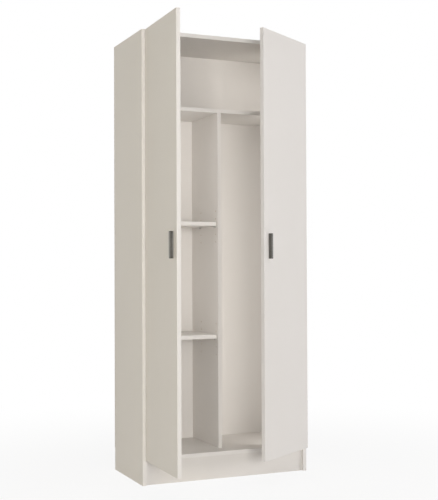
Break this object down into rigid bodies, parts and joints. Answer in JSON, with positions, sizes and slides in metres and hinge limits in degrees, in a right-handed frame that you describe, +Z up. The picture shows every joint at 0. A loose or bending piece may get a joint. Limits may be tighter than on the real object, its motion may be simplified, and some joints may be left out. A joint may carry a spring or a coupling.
{
  "type": "tall storage cabinet",
  "caption": "Tall white board storage cabinet on a plinth, with hinged doors, a divider, a fixed shelf and loose shelves on pins.",
  "frame": {"origin": "middle of the underside of the plinth board, on the floor at the front of the cabinet", "axes": "+Z up, -Y towards the doors and the user, +Y towards the wall, +X to the right seen from the front"},
  "size_m": [0.7373, 0.7235, 1.8],
  "materials": {
    "carcass_board": "white melamine faced chipboard, satin, fine pearl texture",
    "shelf_board": "white melamine faced chipboard, satin",
    "door_board": "white melamine faced chipboard with matching edge band, satin",
    "back_sheet": "thin hardboard, painted white on the face, bare brown behind",
    "handle_metal": "dark satin metal bar",
    "hinge_steel": "nickel plated pressed steel",
    "hinge_pin_steel": "ground steel",
    "screw_steel": "zinc plated",
    "support_steel": "nickel plated",
    "cam_zinc": "die cast zinc, matt",
    "dowel_wood": "fluted beech, untreated",
    "nail_steel": "bright wire nails",
    "bracket_steel": "white powder coat, satin"
  },
  "bodies": {
    "root": {"left_side_panel": "carcass_board", "right_side_panel": "carcass_board", "top_panel": "carcass_board", "bottom_panel": "carcass_board", "fixed_shelf": "carcass_board", "divider": "carcass_board", "plinth": "carcass_board", "back_panel": "back_sheet", "lower_shelf_supports": "support_steel", "upper_shelf_supports": "support_steel", "cam_bolts": "cam_zinc", "cam_locks": "cam_zinc", "wood_dowels": "dowel_wood", "divider_screws": "screw_steel", "back_panel_nails": "nail_steel", "wall_brackets": "bracket_steel", "wall_bracket_screws": "screw_steel", "left_hinge_arms": "hinge_steel", "left_hinge_plates": "hinge_steel", "left_hinge_plate_screws": "screw_steel", "left_hinge_arm_screws": "screw_steel", "left_hinge_arm_pins": "hinge_pin_steel", "right_hinge_arms": "hinge_steel", "right_hinge_plates": "hinge_steel", "right_hinge_plate_screws": "screw_steel", "right_hinge_arm_screws": "screw_steel", "right_hinge_arm_pins": "hinge_pin_steel"},
    "left_links": {"left_hinge_links": "hinge_steel"},
    "left_door": {"left_door": "door_board", "left_handle": "handle_metal", "left_handle_screws": "screw_steel", "left_hinge_cups": "hinge_steel", "left_hinge_cup_screws": "screw_steel", "left_hinge_cup_pins": "hinge_pin_steel"},
    "right_links": {"right_hinge_links": "hinge_steel"},
    "right_door": {"right_door": "door_board", "right_handle": "handle_metal", "right_handle_screws": "screw_steel", "right_hinge_cups": "hinge_steel", "right_hinge_cup_screws": "screw_steel", "right_hinge_cup_pins": "hinge_pin_steel"},
    "lower_shelf": {"lower_loose_shelf": "shelf_board"},
    "upper_shelf": {"upper_loose_shelf": "shelf_board"}
  },
  "joints": [
    {"name": "left_link_turn", "type": "hinge", "parent": "root", "child": "left_links", "pos_m": [-0.328, -0.0075, 0], "axis": [0, 0, 1], "range_deg": [-33.03, 6.97]},
    {"name": "left_door_swing", "type": "hinge", "parent": "left_links", "child": "left_door", "pos_m": [-0.33898, -0.03327, 0], "axis": [0, 0, -1], "range_deg": [-124.03, 25.57]},
    {"name": "right_link_turn", "type": "hinge", "parent": "root", "child": "right_links", "pos_m": [0.328, -0.0075, 0], "axis": [0, 0, -1], "range_deg": [-12.48, 27.52]},
    {"name": "right_door_swing", "type": "hinge", "parent": "right_links", "child": "right_door", "pos_m": [0.34733, -0.02777, 0], "axis": [0, 0, 1], "range_deg": [-46.38, 103.22]},
    {"name": "lower_shelf_lift", "type": "slide", "parent": "root", "child": "lower_shelf", "axis": [0, 0, 1], "range_m": [0, 0.06]},
    {"name": "upper_shelf_lift", "type": "slide", "parent": "root", "child": "upper_shelf", "axis": [0, 0, 1], "range_m": [0, 0.06]}
  ],
  "couplings": [
    {"joint": "left_link_turn", "follows": "left_door_swing", "ratio": 0.26471},
    {"joint": "right_link_turn", "follows": "right_door_swing", "ratio": 0.26471}
  ]
}
